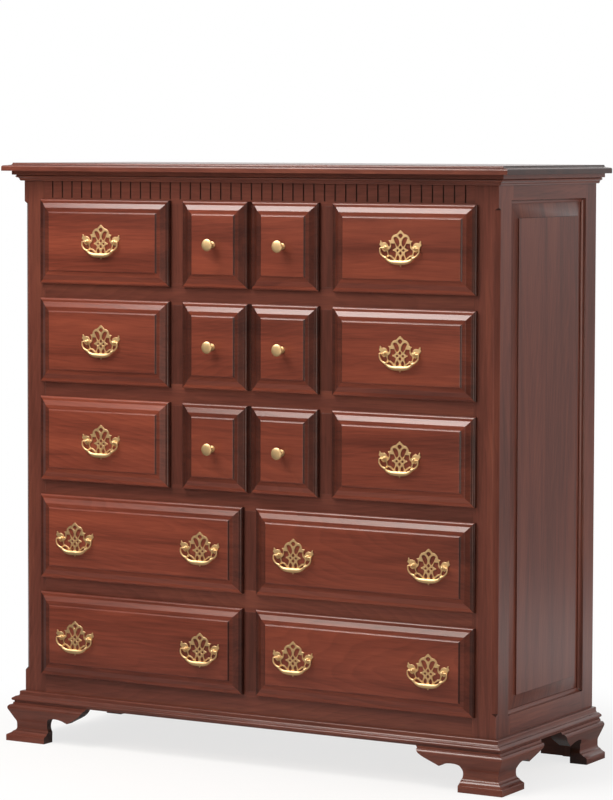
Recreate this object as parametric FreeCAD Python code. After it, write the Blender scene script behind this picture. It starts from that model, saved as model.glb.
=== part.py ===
"""Block front chest of drawers on ogee bracket feet, every board and brass its own solid.

Millimetres, +Z up.  The pieces are drawn with x = 0 on the centre line, y = 0 on the front
plane of the case and z = 0 on the floor; +X is to the right of someone facing the chest.
export() then moves everything back so that the origin is the middle of the footprint.
"""
import FreeCAD
import Part
import math
import os

Vec = FreeCAD.Vector

# Case
OVERALL_HEIGHT = 1270.0
CASE_WIDTH = 1158.0
CASE_DEPTH = 459.5
CASE_BOTTOM = 84.5
TOP_THICKNESS = 17.8
TOP_OVERHANG = 36.5
BOARD = 22.0
TIGHT = 0.15

# Drawer layout
ROWS = 5
SPLIT_ROWS = (1, 2, 3)
FRIEZE_SHOWN = 60.3
RAIL_SHOWN = 30.8
BASE_SHOWN = 65.2
STILE_SHOWN = 46.4
DIVIDER_SHOWN = 32.5
LIP = 8.0
LIP_GAP = 0.3

# Moulded edge of a drawer front: distance in from the edge, height above the frame
EDGE_SQUARE = 6.5
BEAD_RADIUS = 3.5
LEDGE = (8.8, 10.0)
OGEE_TOP = (18.7, 16.0)
FILLET_FOOT = (27.5, 16.0)
FIELD = (31.0, 19.0)
BLOCK_GAP = 8.4
BLOCK_GAP_FLOOR = 2.0

# Drawer box
FRONT_BACK = 13.0
RABBET = 12.0
SIDE_THICKNESS = 11.0
SIDE_PLAY = 1.5
RUN_PLAY = 0.5
HEAD_PLAY = 6.0
REAR_PLAY = 6.0
BOTTOM_THICKNESS = 5.0
GROOVE_DEPTH = 5.0
GROOVE_HEIGHT = 10.0
BACK_DROP = 8.0

# Web frames that carry the drawers
RUNNER_THICKNESS = 18.0
RUNNER_TREAD = 24.0
GUIDE_HEIGHT = 30.0
REAR_RAIL_WIDTH = 19.5
BACK_THICKNESS = 10.0
BACK_RABBET = 10.0
BACK_BOARDS = 6
BACK_CHAMFER = 2.0

# Frieze and corner posts
FLUTES = 41
FLUTE_MARGIN = 75.0
FLUTE_WIDTH = 4.6
FLUTE_DEPTH = 3.2
FLUTE_RISE = 2.6
POST_DEPTH = 65.0
CHAMFER = 9.5
CHAMFER_STOP = 11.0

# Panelled sides
REAR_STILE = 58.5
LOW_RAIL = 73.5
HIGH_RAIL = 60.2
STICKING = 8.0
STICKING_QUIRK = 1.2
TONGUE = 6.0
TONGUE_DEPTH = 10.0
TONGUE_THICKNESS = 5.0
RAISE_WIDTH = 29.0
RAISE_STEP = 3.2

# Base moulding and feet
FOOT_REACH = 176.0
REAR_REACH = 197.5
FOOT_HEAD_OUT = 19.4
FRONT_WING_THICKNESS = 40.0
SIDE_WING_THICKNESS = 28.0
BACK_WING = 111.0
BLOCK_SIZE = 34.0
BLOCK_LIFT = 6.0

# Pulls and knobs
PLATE_THICKNESS = 1.8
PULL_INSET = 98.5
PULL_DROP = 3.0
ROW_DROP = 1.0
POST_U = 34.5
POST_W = 4.5
POST_REACH = 4.5
PIN_RADIUS = 1.3
PIN_PLAY = 0.06
PIN_DEPTH = 1.2
PIN_END_PLAY = 0.3
PIN_SIDES = 6
BAIL_SIDES = 6
TURNED_SIDES = 6
KNOB_SIDES = 12
KNOB_REACH = 24.0

HALF = CASE_WIDTH / 2
UNDER_TOP = OVERALL_HEIGHT - TOP_THICKNESS
LOWEST_FRONT = CASE_BOTTOM + BASE_SHOWN
HIGHEST_FRONT = UNDER_TOP - FRIEZE_SHOWN
FRONT_HEIGHT = (HIGHEST_FRONT - LOWEST_FRONT - (ROWS - 1) * RAIL_SHOWN) / ROWS
OPENING_HEIGHT = FRONT_HEIGHT - 2 * LIP
POST_WIDTH = STILE_SHOWN + LIP
SHELL_BACK = CASE_DEPTH - BACK_THICKNESS
REAR_RAIL_Y = SHELL_BACK - REAR_RAIL_WIDTH
BOX_REAR = REAR_RAIL_Y - REAR_PLAY
PANEL_REAR = CASE_DEPTH - REAR_STILE
PANEL_FOOT = CASE_BOTTOM + LOW_RAIL
PANEL_HEAD = UNDER_TOP - HIGH_RAIL
FLUTE_PITCH = (CASE_WIDTH - 2 * FLUTE_MARGIN) / (FLUTES - 1)
FRONT_REACH = FIELD[1] + KNOB_REACH


def export(node, solids):
    """Write one node's solids, moved so that y = 0 is the middle of the whole depth."""
    shape = Part.makeCompound(solids)
    shape.translate(Vec(0, (FRONT_REACH - CASE_DEPTH) / 2, 0))
    shape.exportStep("parts/%s.step" % node)


def box(x, y, z):
    """A board between two limits along each axis."""
    corner = Vec(x[0], y[0], z[0])
    return Part.makeBox(x[1] - x[0], y[1] - y[0], z[1] - z[0], corner)


def prism(points, along):
    """A closed outline of points, drawn out along a vector."""
    ring = [Vec(*point) for point in points]
    return Part.Face(Part.makePolygon(ring + ring[:1])).extrude(Vec(*along))


def mirrored(shape, normal=(1, 0, 0)):
    return shape.mirror(Vec(0, 0, 0), Vec(*normal))


def arc(centre, radius, start, stop, steps):
    """Points on an arc, angles in degrees, ends included."""
    points = []
    for i in range(steps + 1):
        angle = math.radians(start + (stop - start) * i / steps)
        points.append((centre[0] + radius * math.cos(angle), centre[1] + radius * math.sin(angle)))
    return points


def ogee(low, high, steps):
    """Points of a smooth S between two heights, flat at both ends."""
    points = []
    for i in range(steps + 1):
        t = i / steps
        rise = (1 - math.cos(math.pi * t)) / 2
        points.append((low[0] + (high[0] - low[0]) * t, low[1] + (high[1] - low[1]) * rise))
    return points


def skin(rings):
    """A closed solid through a run of rings with the same number of points."""
    faces = [Part.Face(Part.makePolygon(ring + ring[:1])) for ring in (rings[0], rings[-1])]
    for low, high in zip(rings, rings[1:]):
        for i in range(len(low)):
            j = (i + 1) % len(low)
            for corner in ((low[i], low[j], high[j]), (low[i], high[j], high[i])):
                faces.append(Part.Face(Part.makePolygon(list(corner) + [corner[0]])))
    solid = Part.Solid(Part.Shell(faces))
    return solid if solid.Volume > 0 else Part.Solid(solid.reversed().Shells[0])


def regular(centre, radius, sides):
    """Corners of a regular outline that stands on one of its flats."""
    lean = 180.0 / sides
    return arc(centre, radius, lean, 360.0 + lean, sides)[:-1]


def turned(centre, profile, sides):
    """A turning that stands out along -Y: profile is (radius, distance out)."""
    rings = []
    for radius, out in profile:
        ring = regular((centre[0], centre[2]), radius, sides)
        rings.append([Vec(x, centre[1] - out, z) for x, z in ring])
    return skin(rings).removeSplitter()


def drawer_columns(row):
    """Names and edges of the fronts in a row, left to right."""
    names = ("left", "centre", "right") if row in SPLIT_ROWS else ("left", "right")
    shown = CASE_WIDTH - 2 * STILE_SHOWN - (len(names) - 1) * DIVIDER_SHOWN
    width = shown / len(names)
    columns = []
    for i, name in enumerate(names):
        start = -HALF + STILE_SHOWN + i * (width + DIVIDER_SHOWN)
        columns.append((name, start, start + width))
    return columns


def row_foot(row):
    """Lower edge of the fronts in a row; row 1 is at the top."""
    return LOWEST_FRONT + (ROWS - row) * (FRONT_HEIGHT + RAIL_SHOWN)


def front_edge():
    """Moulding of a drawer front from its outer edge in to the raised field."""
    bead = arc((BEAD_RADIUS, EDGE_SQUARE), BEAD_RADIUS, 180, 90, 2)
    swell = ogee(LEDGE, OGEE_TOP, 2)
    cove = arc((FIELD[0], FILLET_FOOT[1]), FIELD[1] - FILLET_FOOT[1], 180, 90, 2)
    return bead + swell + [FILLET_FOOT] + cove[1:]


def block_section(blocks):
    """Height of the front across one or two raised blocks, as an outline on the frame plane."""
    edge = front_edge()
    section = [(blocks[0][0], LIP_GAP)]
    for start, stop in blocks:
        if start != blocks[0][0]:
            section.append((start - BLOCK_GAP / 2, BLOCK_GAP_FLOOR))
        section += [(start + inset, rise) for inset, rise in edge]
        section += [(stop - inset, rise) for inset, rise in reversed(edge)]
    return section + [(blocks[-1][1], LIP_GAP)]


def drawer_front(start, stop, foot, blocked):
    """Lipped front: mitred moulding round one field, or round two blocks side by side."""
    middle = (start + stop) / 2
    blocks = [(start, stop)]
    if blocked:
        blocks = [(start, middle - BLOCK_GAP / 2), (middle + BLOCK_GAP / 2, stop)]
    head = foot + FRONT_HEIGHT
    across = prism([(x, -rise, foot) for x, rise in block_section(blocks)], (0, 0, FRONT_HEIGHT))
    upright = prism([(start, -rise, z) for z, rise in block_section([(foot, head)])],
                    (stop - start, 0, 0))
    inner = (start + LIP + SIDE_PLAY, stop - LIP - SIDE_PLAY)
    floor = foot + LIP + RUN_PLAY
    ceiling = head - LIP - HEAD_PLAY
    tenon = box(inner, (-LIP_GAP, FRONT_BACK - RABBET), (floor, ceiling))
    core = box((inner[0] + SIDE_THICKNESS, inner[1] - SIDE_THICKNESS), (0, FRONT_BACK),
               (floor, ceiling))
    slot = floor + GROOVE_HEIGHT
    groove = box(inner, (FRONT_BACK - GROOVE_DEPTH, FRONT_BACK),
                 (slot, slot + BOTTOM_THICKNESS + TIGHT))
    return across.common(upright).fuse([tenon, core]).cut(groove).removeSplitter()


def drawer(start, stop, foot, blocked):
    """Front, two sides, back and bottom of one drawer."""
    left = start + LIP + SIDE_PLAY
    right = stop - LIP - SIDE_PLAY
    floor = foot + LIP + RUN_PLAY
    ceiling = foot + FRONT_HEIGHT - LIP - HEAD_PLAY
    slot = floor + GROOVE_HEIGHT
    side_front = FRONT_BACK - RABBET
    slot_top = slot + BOTTOM_THICKNESS + TIGHT
    solids = [drawer_front(start, stop, foot, blocked)]
    for outer, inward in ((left, 1), (right, -1)):
        inner = outer + inward * SIDE_THICKNESS
        seat = inner - inward * GROOVE_DEPTH
        outline = [(outer, floor), (inner, floor), (inner, slot), (seat, slot),
                   (seat, slot_top), (inner, slot_top), (inner, ceiling), (outer, ceiling)]
        solids.append(prism([(x, side_front, z) for x, z in outline],
                            (0, BOX_REAR - side_front, 0)))
    inner = (left + SIDE_THICKNESS, right - SIDE_THICKNESS)
    solids.append(box(inner, (BOX_REAR - SIDE_THICKNESS, BOX_REAR),
                      (slot_top, ceiling - BACK_DROP)))
    reach = GROOVE_DEPTH - TIGHT
    solids.append(box((inner[0] - reach, inner[1] + reach), (FRONT_BACK - reach, BOX_REAR),
                      (slot, slot + BOTTOM_THICKNESS)))
    return solids


# Right half of the pierced back plate, top to bottom: across and up from the middle of the fret
PLATE_EDGE = (
    (0, 40), (8.6, 31.2), (13.5, 30.4), (19.2, 25.6), (20.8, 20.6), (27.6, 19.4),
    (25.4, 13.6), (26.6, 6), (31, 14.2), (42, 13.9), (45.8, 18.9), (48.6, 10.8),
    (41, -2.4), (26.4, -5), (31.4, -12), (23.4, -9.8), (15.4, -14), (9.4, -26),
    (2.4, -28.2), (0, -32.5))
FINIAL_HOLE = ((0, 33.4), (4.4, 29.4), (0, 25), (-4.4, 29.4))
UPPER_LOOP = ((15.2, 25), (8.2, 26), (2.8, 16.4), (6.4, 8.4))
SIDE_LIGHT = ((13.8, 13), (22, 12.8), (21.4, 0), (23.6, -6.8), (11.4, -10.4), (18, 0.4),
              (10.6, 6))
LOWER_LOOP = ((6, -9.8), (8.8, -14.8), (6.2, -20.4), (3, -14.6))

# Bail from its pin to the middle: across, up, half height and half depth of the section
BAIL_RUN = (
    (43, POST_W, 1.3, 1.3), (45, 1.6, 1.5, 1.5), (43.2, -7, 1.8, 1.8),
    (30.4, -15.6, 2.7, 2.3), (16, -23.6, 4.1, 3), (0, -24.8, 4.7, 3.3))

# Profiles of turnings: radius, distance out
PULL_POST = ((3, 0), (4.6, POST_REACH - 1.9), (4.6, POST_REACH + 1.9), (2.4, POST_REACH + 3.7))
KNOB = ((7.2, 0), (3.6, 3), (3.4, 13.5), (12.8, 17.6), (12.8, 20.2), (9, 22.8), (3.6, KNOB_REACH))


def plate(x, z):
    """Pierced back plate lying on the field of the front."""
    def upright(points, side=1):
        return [(x + side * u, -FIELD[1], z + w) for u, w in points]
    depth = (0, -PLATE_THICKNESS, 0)
    left_edge = [(-u, w) for u, w in reversed(PLATE_EDGE[1:-1])]
    body = prism(upright(list(PLATE_EDGE) + left_edge), depth)
    holes = [prism(upright(FINIAL_HOLE), depth)]
    for side in (-1, 1):
        for outline in (UPPER_LOOP, SIDE_LIGHT, LOWER_LOOP):
            holes.append(prism(upright(outline, side), depth))
    return body.cut(holes)


def pin_ring(x, z, radius):
    """Ring square to the pin of a bail."""
    y = -FIELD[1] - PLATE_THICKNESS - POST_REACH
    return [Vec(x, y + a, z + b) for a, b in regular((0, 0), radius, PIN_SIDES)]


def pull(x, z):
    """Back plate and the two posts that hold its bail."""
    solids = [plate(x, z)]
    for side in (-1, 1):
        centre = (x + side * POST_U, -FIELD[1] - PLATE_THICKNESS, z + POST_W)
        post = turned(centre, PULL_POST, TURNED_SIDES)
        radius = (PIN_RADIUS + PIN_PLAY) / math.cos(math.pi / PIN_SIDES)
        reach = (-PIN_DEPTH - PIN_END_PLAY, POST_REACH)
        hole = skin([pin_ring(centre[0] + side * a, centre[2], radius) for a in reach])
        solids.append(post.cut(hole))
    return solids


def bail(x, z):
    """Drop handle: thin arms with inturned pins, swelling to a heavy grip."""
    rings = []
    right = [(POST_U - PIN_DEPTH, POST_W, PIN_RADIUS, PIN_RADIUS)] + list(BAIL_RUN)
    run = [(-u, w, a, b) for u, w, a, b in right[:-1]] + list(reversed(right))
    y = -FIELD[1] - PLATE_THICKNESS - POST_REACH
    for i, (u, w, tall, deep) in enumerate(run):
        before = run[max(i - 1, 0)]
        after = run[min(i + 1, len(run) - 1)]
        du = after[0] - before[0]
        dw = after[1] - before[1]
        length = math.hypot(du, dw)
        normal = (-dw / length, du / length)
        if i in (0, len(run) - 1):
            normal = (0, math.copysign(1, du))
        ring = []
        for a, b in regular((0, 0), 1, BAIL_SIDES):
            ring.append(Vec(x + u + normal[0] * tall * b, y + deep * a, z + w + normal[1] * tall * b))
        rings.append(ring)
    return [skin(rings)]


def corner_post(side):
    """Front post: the front stile and the stile of the panelled side in one stick."""
    post = box((HALF - POST_WIDTH, HALF), (0, POST_DEPTH), (CASE_BOTTOM, UNDER_TOP))
    edge = [(HALF, 0, 0), (HALF - CHAMFER, 0, 0), (HALF, CHAMFER, 0)]
    chamfer = prism(edge, (0, 0, OVERALL_HEIGHT))
    stop = [(0, LOWEST_FRONT), (CHAMFER, LOWEST_FRONT + CHAMFER_STOP),
            (CHAMFER, HIGHEST_FRONT - CHAMFER_STOP), (0, HIGHEST_FRONT)]
    reach = prism([(HALF - s, s - CHAMFER, z) for s, z in stop], (CHAMFER, CHAMFER, 0))
    post = post.cut(chamfer.common(reach)).cut(panel_opening())
    return [post if side > 0 else mirrored(post)]


def panel_opening():
    """What the opening of a panelled side takes away: light, sticking and panel groove."""
    front = POST_DEPTH - STICKING
    rear = PANEL_REAR + STICKING
    foot = PANEL_FOOT - STICKING
    head = PANEL_HEAD + STICKING

    def recess(low, high):
        round_over = arc((STICKING, 0), STICKING - STICKING_QUIRK, 180, 90, 3)
        section = [(0, 0), (0, STICKING_QUIRK)]
        section += [(a, STICKING_QUIRK + b) for a, b in round_over[1:]]
        section += [(STICKING, BOARD)]
        far = [(high - low - a, b) for a, b in reversed(section)]
        return [(low + a, b) for a, b in section + far]
    level = prism([(HALF - d, y, foot) for y, d in recess(front, rear)], (0, 0, head - foot))
    upright = prism([(HALF - d, front, z) for z, d in recess(foot, head)], (0, rear - front, 0))
    groove_x = (HALF - TONGUE_DEPTH - TONGUE_THICKNESS - TIGHT, HALF - TONGUE_DEPTH)
    groove = box(groove_x, (POST_DEPTH - TONGUE, PANEL_REAR + TONGUE),
                 (PANEL_FOOT - TONGUE, PANEL_HEAD + TONGUE))
    return level.common(upright).fuse(groove)


def side_frame(side):
    """Rear stile, top rail and bottom rail of a panelled side."""
    x = (HALF - BOARD, HALF)
    stile = box(x, (PANEL_REAR, CASE_DEPTH), (CASE_BOTTOM, UNDER_TOP))
    stile = stile.cut(box((HALF - BOARD, HALF - BOARD + BACK_RABBET), (SHELL_BACK, CASE_DEPTH),
                          (CASE_BOTTOM, UNDER_TOP)))
    rails = [box(x, (POST_DEPTH, PANEL_REAR), (PANEL_HEAD, UNDER_TOP)),
             box(x, (POST_DEPTH, PANEL_REAR), (CASE_BOTTOM, PANEL_FOOT))]
    solids = [piece.cut(panel_opening()) for piece in [stile] + rails]
    return [piece if side > 0 else mirrored(piece) for piece in solids]


def side_panel(side):
    """Raised panel floating in the grooves of its frame."""
    play = TONGUE - 2 * TIGHT
    limits = ((POST_DEPTH - play, PANEL_REAR + play), (PANEL_FOOT - play, PANEL_HEAD + play))
    rear = HALF - TONGUE_DEPTH - TONGUE_THICKNESS
    tongue = HALF - TONGUE_DEPTH - TIGHT
    field = HALF - 0.8

    def section(low, high):
        edge = [(0, tongue), (TONGUE, tongue), (play + RAISE_WIDTH, field - RAISE_STEP),
                (play + RAISE_WIDTH, field)]
        far = [(high - low - a, x) for a, x in reversed(edge)]
        return [(low, rear)] + [(low + a, x) for a, x in edge + far] + [(high, rear)]
    level = prism([(x, y, limits[1][0]) for y, x in section(*limits[0])],
                  (0, 0, limits[1][1] - limits[1][0]))
    upright = prism([(x, limits[0][0], z) for z, x in section(*limits[1])],
                    (0, limits[0][1] - limits[0][0], 0))
    panel = level.common(upright)
    return [panel if side > 0 else mirrored(panel)]


def opening_edges(row):
    """Edges of the drawer openings in a row."""
    return [(start + LIP, stop - LIP) for _, start, stop in drawer_columns(row)]


def column_dividers():
    """Short uprights between neighbouring openings."""
    solids = []
    for row in range(1, ROWS + 1):
        foot = row_foot(row) + LIP
        edges = opening_edges(row)
        for before, after in zip(edges, edges[1:]):
            solids.append(box((before[1], after[0]), (0, BOARD), (foot, foot + OPENING_HEIGHT)))
    return solids


def drawer_rails():
    """Rails across the front between the rows."""
    x = (POST_WIDTH - HALF, HALF - POST_WIDTH)
    solids = []
    for row in range(2, ROWS + 1):
        head = row_foot(row) + FRONT_HEIGHT - LIP
        solids.append(box(x, (0, BOARD), (head, row_foot(row - 1) + LIP)))
    return solids


def bottom_rail():
    x = (POST_WIDTH - HALF, HALF - POST_WIDTH)
    return [box(x, (0, BOARD), (CASE_BOTTOM, LOWEST_FRONT + LIP))]


def frieze_rail():
    """Top rail with a row of fluting that runs up behind the cornice."""
    x = (POST_WIDTH - HALF, HALF - POST_WIDTH)
    rail = box(x, (0, BOARD), (HIGHEST_FRONT - LIP, UNDER_TOP))
    foot = HIGHEST_FRONT + FLUTE_RISE
    flutes = []
    for i in range(FLUTES):
        middle = (i - (FLUTES - 1) / 2) * FLUTE_PITCH
        outline = [(middle - FLUTE_WIDTH / 2, 0), (middle + FLUTE_WIDTH / 2, 0), (middle, FLUTE_DEPTH)]
        flutes.append(prism([(a, b, foot) for a, b in outline], (0, 0, UNDER_TOP - foot)))
    return [rail.cut(flutes)]


def web_frames():
    """Runners with their guides under every drawer, and the rear rail that each row ends on."""
    wall = HALF - BOARD
    solids = []
    for row in range(1, ROWS + 1):
        top = row_foot(row) + LIP
        edges = opening_edges(row)
        limits = [-wall] + [edge for pair in edges for edge in pair] + [wall]
        for low, high in zip(limits[::2], limits[1::2]):
            tread = (max(low - RUNNER_TREAD, -wall), min(high + RUNNER_TREAD, wall))
            y = (POST_DEPTH if abs(low + high) > wall else BOARD, REAR_RAIL_Y)
            solids.append(box(tread, y, (top - RUNNER_THICKNESS, top)))
            solids.append(box((low, high), y, (top, top + GUIDE_HEIGHT)))
        solids.append(box((-wall, wall), (REAR_RAIL_Y, SHELL_BACK), (top - RUNNER_THICKNESS, top)))
    return solids


def back_panel():
    """Upright back boards with eased edges, between the rabbets of the rear stiles."""
    half = HALF - BOARD + BACK_RABBET - TIGHT
    width = 2 * half / BACK_BOARDS
    solids = []
    for i in range(BACK_BOARDS):
        low = i * width - half
        high = low + width
        outline = [(low, SHELL_BACK), (high, SHELL_BACK), (high, CASE_DEPTH - BACK_CHAMFER),
                   (high - BACK_CHAMFER, CASE_DEPTH), (low + BACK_CHAMFER, CASE_DEPTH),
                   (low, CASE_DEPTH - BACK_CHAMFER)]
        solids.append(prism([(a, b, CASE_BOTTOM) for a, b in outline], (0, 0, UNDER_TOP - CASE_BOTTOM)))
    return solids


def mitred_run(section):
    """Front length and two returns of a moulding, mitred at the corners of the case.

    section lists (distance out from the case, z)."""
    reach = HALF + TOP_OVERHANG
    span = 2 * reach
    front = prism([(-reach, -out, z) for out, z in section], (span, 0, 0))
    corner = [(HALF, 0, 0), (HALF + reach, -reach, 0), (-HALF - reach, -reach, 0), (-HALF, 0, 0)]
    solids = [front.common(prism(corner, (0, 0, OVERALL_HEIGHT)))]
    rear = CASE_DEPTH
    returned = prism([(HALF + out, -reach, z) for out, z in section], (0, reach + rear, 0))
    wedge = [(HALF, 0, 0), (HALF + reach, -reach, 0), (HALF + reach, rear, 0), (HALF, rear, 0)]
    returned = returned.common(prism(wedge, (0, 0, OVERALL_HEIGHT)))
    return solids + [returned, mirrored(returned)]


def cornice_section():
    """Fillet, cove and small bead under the top."""
    top = UNDER_TOP
    cove = arc((13.2, top - 12.6), 5.6, 100, 180, 3)
    return ([(0, top), (20, top), (20, top - 8.3), (12.2, top - 8.9)]
            + [(a - 1.6, b + 1.2) for a, b in cove[1:]]
            + [(7.4, top - 18.0), (5.6, top - 21.4), (0, top - 21.4)])


def base_section():
    """Base moulding: a cove rising from a rounded nose."""
    foot = CASE_BOTTOM
    nose = arc((18.6, foot + 6.8), 4.4, 70, -60, 4)
    return ([(0, foot), (18.9, foot)] + list(reversed(nose))
            + [(16.9, foot + 11.7), (14.0, foot + 15.5), (10.9, foot + 22.0),
               (8.0, foot + 24.3), (0, foot + 25.0)])


def top_board():
    """Top with its moulded edge on the front and both ends."""
    def edge(step):
        nose = arc((TOP_OVERHANG - 3.4, UNDER_TOP + 8.4), 3.4, 0, 80, 3)
        return ([(step, UNDER_TOP), (TOP_OVERHANG, UNDER_TOP)] + nose
                + [(27.2, UNDER_TOP + 12.6), (21.6, UNDER_TOP + 13.6), (18.5, OVERALL_HEIGHT),
                   (step, OVERALL_HEIGHT)])
    depth = CASE_DEPTH
    front = prism([(-HALF - TOP_OVERHANG, -out, z) for out, z in edge(-depth)],
                  (CASE_WIDTH + 2 * TOP_OVERHANG, 0, 0))
    right = edge(0)[1:-1]
    ends = [(HALF + out, z) for out, z in right] + [(-HALF - out, z) for out, z in reversed(right)]
    across = prism([(x, -TOP_OVERHANG, z) for x, z in ends], (0, depth + TOP_OVERHANG, 0))
    return [front.common(across)]


def foot_section(thickness):
    """Ogee face of a bracket foot, from the base moulding down to the floor: (out, z)."""
    knee = arc((22.2, CASE_BOTTOM - 13.7), 7.0, 62, -28, 4)
    hollow = arc((24.6, 33.0), 11.2, 145, 232, 4)
    toe = [(23.0, 16.6), (28.4, 13.4), (31.0, 10.8), (31.0, 0)]
    back = FOOT_HEAD_OUT - thickness
    return ([(back, CASE_BOTTOM), (FOOT_HEAD_OUT, CASE_BOTTOM)] + knee
            + [(19.6, CASE_BOTTOM - 31.5)] + hollow + toe + [(back, 0)])


def bracket_outline(start, end):
    """Face of a bracket wing between its corner and its tip: (along, z)."""
    heel = [(start, CASE_BOTTOM), (start, 0), (70, 0), (70, 12)]
    waist = arc((88, 34), 26, 205, 128, 4)
    arch = arc((89, 38), 18.5, 105, 45, 2)
    spur = [(110, 49.5), (118, 46.8), (122.5, 48.2)]
    sweep = arc((end - 46, CASE_BOTTOM + 18), 49, -100, -22, 4)
    return heel + waist + arch + spur + sweep


def wing(section, outline, place):
    """A foot board: its ogee section run out along the board, sawn to the bracket outline."""
    reach = max(along for along, _ in outline)
    thick = [out for out, _ in section]
    start = min(along for along, _ in outline)
    board = prism([place(start, out, z) for out, z in section], place_vector(place, reach - start))
    sawn = prism([place(along, min(thick), z) for along, z in outline],
                 place_normal(place, max(thick) - min(thick)))
    return board.common(sawn)


def place_vector(place, length):
    """Vector of a given length along a placed board."""
    return tuple(b - a for a, b in zip(place(0, 0, 0), place(length, 0, 0)))


def place_normal(place, length):
    """Vector of a given length out of the face of a placed board."""
    return tuple(b - a for a, b in zip(place(0, 0, 0), place(0, length, 0)))


def front_foot(side):
    """Ogee bracket foot: a front wing and a side wing mitred together over a glue block."""
    def on_front(along, out, z):
        return (HALF - along, -out, z)

    def on_side(along, out, z):
        return (HALF + out, along, z)
    outline = bracket_outline(-FRONT_WING_THICKNESS, FOOT_REACH)
    front = wing(foot_section(FRONT_WING_THICKNESS), outline, on_front)
    flank = wing(foot_section(SIDE_WING_THICKNESS), outline, on_side)
    span = 2 * FOOT_REACH
    mitre = [(HALF + span, -span, 0), (HALF - span, span, 0)]
    front = front.common(prism(mitre + [(HALF - span, -span, 0)], (0, 0, CASE_BOTTOM)))
    flank = flank.common(prism(mitre + [(HALF + span, span, 0)], (0, 0, CASE_BOTTOM)))
    solids = [front, flank]
    corner = (HALF + FOOT_HEAD_OUT - SIDE_WING_THICKNESS, FRONT_WING_THICKNESS - FOOT_HEAD_OUT)
    solids.append(glue_block(corner[0], corner[1], corner[1] + BLOCK_SIZE))
    return [piece if side > 0 else mirrored(piece) for piece in solids]


def glue_block(outer, front, rear):
    """Upright block in the corner of a foot, a little off the floor."""
    return box((outer - BLOCK_SIZE, outer), (front, rear), (BLOCK_LIFT, CASE_BOTTOM))


def rear_foot(side):
    """Rear foot: an ogee side wing, a plain board across the back and a glue block."""
    def on_side(along, out, z):
        return (HALF + out, CASE_DEPTH - along, z)
    stretch = REAR_REACH - FOOT_REACH
    outline = [(along + stretch if along > 0 else 0, z)
               for along, z in bracket_outline(0, FOOT_REACH)]
    flank = wing(foot_section(SIDE_WING_THICKNESS), outline, on_side)
    inner = HALF + FOOT_HEAD_OUT - SIDE_WING_THICKNESS
    back_face = CASE_DEPTH - BOARD
    solids = [flank, box((HALF - BACK_WING, inner), (back_face, CASE_DEPTH), (0, CASE_BOTTOM)),
              glue_block(inner, back_face - BLOCK_SIZE, back_face)]
    return [piece if side > 0 else mirrored(piece) for piece in solids]


def bottom_board():
    """Board that closes the case and carries the feet."""
    return [box((BOARD - HALF, HALF - BOARD), (POST_DEPTH, SHELL_BACK),
                (CASE_BOTTOM, CASE_BOTTOM + RUNNER_THICKNESS)),
            box((POST_WIDTH - HALF, HALF - POST_WIDTH), (BOARD, POST_DEPTH),
                (CASE_BOTTOM, CASE_BOTTOM + RUNNER_THICKNESS))]


def main():
    os.makedirs("parts", exist_ok=True)
    export("top_board", top_board())
    export("cornice_moulding", mitred_run(cornice_section()))
    export("frieze_rail", frieze_rail())
    export("column_dividers", column_dividers())
    export("drawer_rails", drawer_rails())
    export("bottom_rail", bottom_rail())
    export("web_frames", web_frames())
    export("back_panel", back_panel())
    export("bottom_board", bottom_board())
    export("base_moulding", mitred_run(base_section()))
    for name, side in (("left", -1), ("right", 1)):
        export("%s_front_post" % name, corner_post(side))
        export("%s_side_frame" % name, side_frame(side))
        export("%s_side_panel" % name, side_panel(side))
        export("%s_front_foot" % name, front_foot(side))
        export("%s_rear_foot" % name, rear_foot(side))
    for row in range(1, ROWS + 1):
        foot = row_foot(row)
        knob_z = foot + FRONT_HEIGHT / 2 - (row - 1) * ROW_DROP
        pull_z = knob_z - PULL_DROP
        for name, start, stop in drawer_columns(row):
            blocked = name == "centre"
            label = "%d_%s" % (row, name)
            export("drawer_" + label, drawer(start, stop, foot, blocked))
            if blocked:
                block_middle = (stop - start + BLOCK_GAP) / 4
                knobs = [turned((x, -FIELD[1], knob_z), KNOB, KNOB_SIDES)
                         for x in (-block_middle, block_middle)]
                export("knobs_%d" % row, knobs)
            elif row in SPLIT_ROWS:
                middle = (start + stop) / 2
                export("pull_" + label, pull(middle, pull_z))
                export("bail_" + label, bail(middle, pull_z))
            else:
                ends = (("a", start + PULL_INSET), ("b", stop - PULL_INSET))
                export("pulls_" + label, [solid for _, x in ends for solid in pull(x, pull_z)])
                for end, x in ends:
                    export("bail_%s_%s" % (label, end), bail(x, pull_z))


main()
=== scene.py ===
import math
import random

import bmesh
import bpy
from mathutils import Matrix, Vector


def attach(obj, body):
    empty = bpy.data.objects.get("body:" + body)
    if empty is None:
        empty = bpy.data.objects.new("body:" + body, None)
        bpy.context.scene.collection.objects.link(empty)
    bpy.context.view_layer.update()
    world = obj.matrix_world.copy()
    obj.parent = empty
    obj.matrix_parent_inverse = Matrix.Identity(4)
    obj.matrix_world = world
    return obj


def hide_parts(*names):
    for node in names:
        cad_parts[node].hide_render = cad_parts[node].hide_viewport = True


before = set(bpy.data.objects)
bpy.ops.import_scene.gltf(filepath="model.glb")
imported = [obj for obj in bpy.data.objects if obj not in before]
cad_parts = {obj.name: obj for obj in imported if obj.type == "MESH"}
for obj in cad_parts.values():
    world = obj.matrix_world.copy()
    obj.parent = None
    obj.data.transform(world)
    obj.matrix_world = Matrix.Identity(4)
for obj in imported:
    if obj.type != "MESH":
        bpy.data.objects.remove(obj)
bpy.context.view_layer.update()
scene = bpy.context.scene
scene.view_settings.view_transform = "Standard"


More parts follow.
